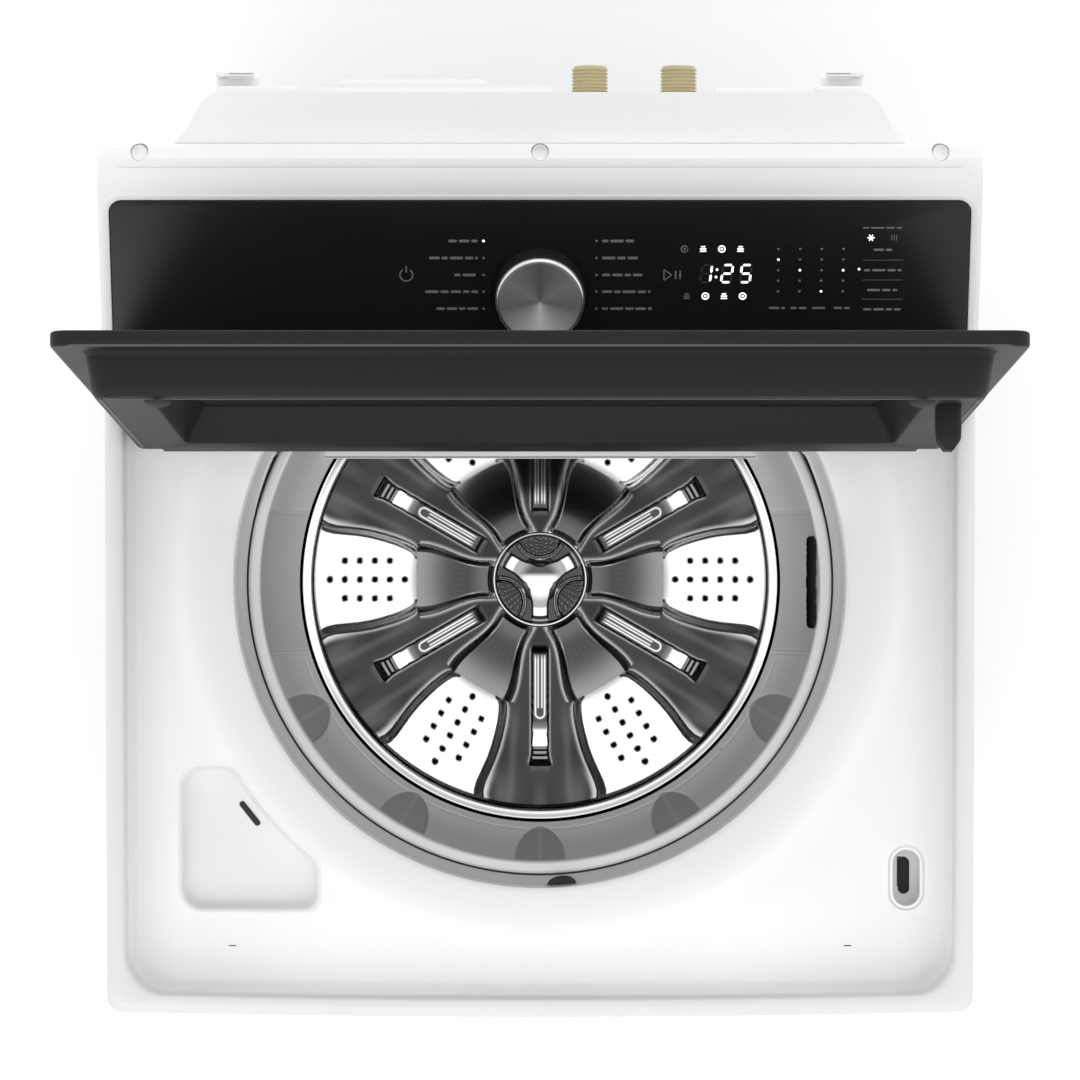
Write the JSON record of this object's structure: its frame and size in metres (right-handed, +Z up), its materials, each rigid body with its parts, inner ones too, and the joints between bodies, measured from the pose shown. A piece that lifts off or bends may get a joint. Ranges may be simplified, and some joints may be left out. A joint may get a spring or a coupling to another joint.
{
  "type": "top load washing machine",
  "caption": "Top load washing machine with an open hinged lid, sloped console with a knob, sprung tub, spinning basket, pulsator and levelling feet.",
  "frame": {"origin": "bottom centre of the bounding box, on the floor under the levelling feet", "axes": "+Z up, the front faces -Y, +X to the right seen from the front"},
  "size_m": [0.632, 0.69, 1.3741],
  "materials": {
    "white_plastic": "glossy white moulded plastic",
    "white_steel": "white stove enamel, satin gloss",
    "galvanised_steel": "zinc coated sheet",
    "grey_plastic": "satin grey polypropylene",
    "tub_plastic": "filled polypropylene",
    "charcoal_plastic": "satin charcoal",
    "black_glass": "black back-printed tempered glass",
    "black_plastic": "black",
    "brushed_metal": "brushed, bright turned edge",
    "stainless_steel": "polished stainless",
    "metallic_plastic": "dark metallised arms, pearl white valleys",
    "chrome": "bright chrome",
    "machined_steel": "turned steel",
    "cast_aluminium": "as cast",
    "copper_winding": "lacquered windings",
    "circuit_board": "green solder mask",
    "rubber": "matt",
    "beige_plastic": "beige glass filled nylon, threaded"
  },
  "bodies": {
    "cabinet": {"cabinet_shell": "white_steel", "rear_panel": "galvanised_steel", "base_frame": "galvanised_steel", "top_cover": "white_plastic", "throat_ring": "grey_plastic", "console_housing": "white_plastic", "rear_cover": "white_plastic", "control_fascia": "black_glass", "control_board": "circuit_board", "knob_encoder": "machined_steel", "screw_cap_left": "white_plastic", "screw_cap_middle": "white_plastic", "screw_cap_right": "white_plastic", "inlet_valve_cold": "beige_plastic", "inlet_valve_hot": "beige_plastic", "hose_hook_left": "white_plastic", "hose_hook_right": "white_plastic", "bleach_funnel": "grey_plastic", "dispenser_housing": "grey_plastic", "lid_lock": "grey_plastic", "hinge_block_left": "charcoal_plastic", "hinge_block_right": "charcoal_plastic", "drain_pump": "black_plastic", "suspension_rod_front_left": "machined_steel", "suspension_rod_front_right": "machined_steel", "suspension_rod_rear_left": "machined_steel", "suspension_rod_rear_right": "machined_steel"},
    "lid": {"lid_frame": "charcoal_plastic", "lid_glass": "black_glass", "lid_window": "black_glass", "lid_striker": "charcoal_plastic", "lid_bumper_left": "rubber", "lid_bumper_right": "rubber", "hinge_pin_left": "machined_steel", "hinge_pin_right": "machined_steel"},
    "knob": {"knob_body": "black_plastic", "knob_cap": "brushed_metal"},
    "drawer": {"detergent_drawer": "white_plastic"},
    "tub": {"outer_tub": "tub_plastic", "tub_cover": "grey_plastic", "bearing_housing": "cast_aluminium", "motor_stator": "copper_winding", "suspension_spring_front_left": "machined_steel", "suspension_spring_front_right": "machined_steel", "suspension_spring_rear_left": "machined_steel", "suspension_spring_rear_right": "machined_steel"},
    "basket": {"basket_drum": "stainless_steel", "basket_base": "tub_plastic", "balance_ring": "tub_plastic", "spin_shaft": "machined_steel"},
    "pulsator": {"pulsator": "metallic_plastic", "hub_cap": "chrome", "wash_shaft": "machined_steel", "motor_rotor": "machined_steel"},
    "foot_front_left": {"foot_front_left": "rubber"},
    "foot_front_right": {"foot_front_right": "rubber"},
    "foot_rear_left": {"foot_rear_left": "rubber"},
    "foot_rear_right": {"foot_rear_right": "rubber"}
  },
  "joints": [
    {"name": "lid_hinge", "type": "hinge", "parent": "cabinet", "child": "lid", "pos_m": [0, 0.087, 0.956], "axis": [1, 0, 0], "range_deg": [0, 97]},
    {"name": "knob_turn", "type": "hinge", "parent": "cabinet", "child": "knob", "pos_m": [0, 0.18213, 0.99165], "axis": [0, -0.3665, 0.9304], "continuous": true},
    {"name": "drawer_slide", "type": "slide", "parent": "cabinet", "child": "drawer", "axis": [0, -1, 0], "range_m": [0, 0.1]},
    {"name": "tub_bounce", "type": "slide", "parent": "cabinet", "child": "tub", "axis": [0, 0, 1], "range_m": [-0.012, 0.006], "stiffness_N_per_m": 24000, "springref_m": 0.01592, "deforming": ["suspension_spring_front_left", "suspension_spring_front_right", "suspension_spring_rear_left", "suspension_spring_rear_right"]},
    {"name": "basket_spin", "type": "hinge", "parent": "tub", "child": "basket", "pos_m": [0, -0.028, 0.5], "axis": [0, 0, 1], "continuous": true},
    {"name": "pulsator_spin", "type": "hinge", "parent": "tub", "child": "pulsator", "pos_m": [0, -0.028, 0.5], "axis": [0, 0, 1], "continuous": true},
    {"name": "foot_front_left_screw", "type": "slide", "parent": "cabinet", "child": "foot_front_left", "axis": [0, 0, 1], "range_m": [0, 0.012]},
    {"name": "foot_front_right_screw", "type": "slide", "parent": "cabinet", "child": "foot_front_right", "axis": [0, 0, 1], "range_m": [0, 0.012]},
    {"name": "foot_rear_left_screw", "type": "slide", "parent": "cabinet", "child": "foot_rear_left", "axis": [0, 0, 1], "range_m": [0, 0.012]},
    {"name": "foot_rear_right_screw", "type": "slide", "parent": "cabinet", "child": "foot_rear_right", "axis": [0, 0, 1], "range_m": [0, 0.012]}
  ]
}
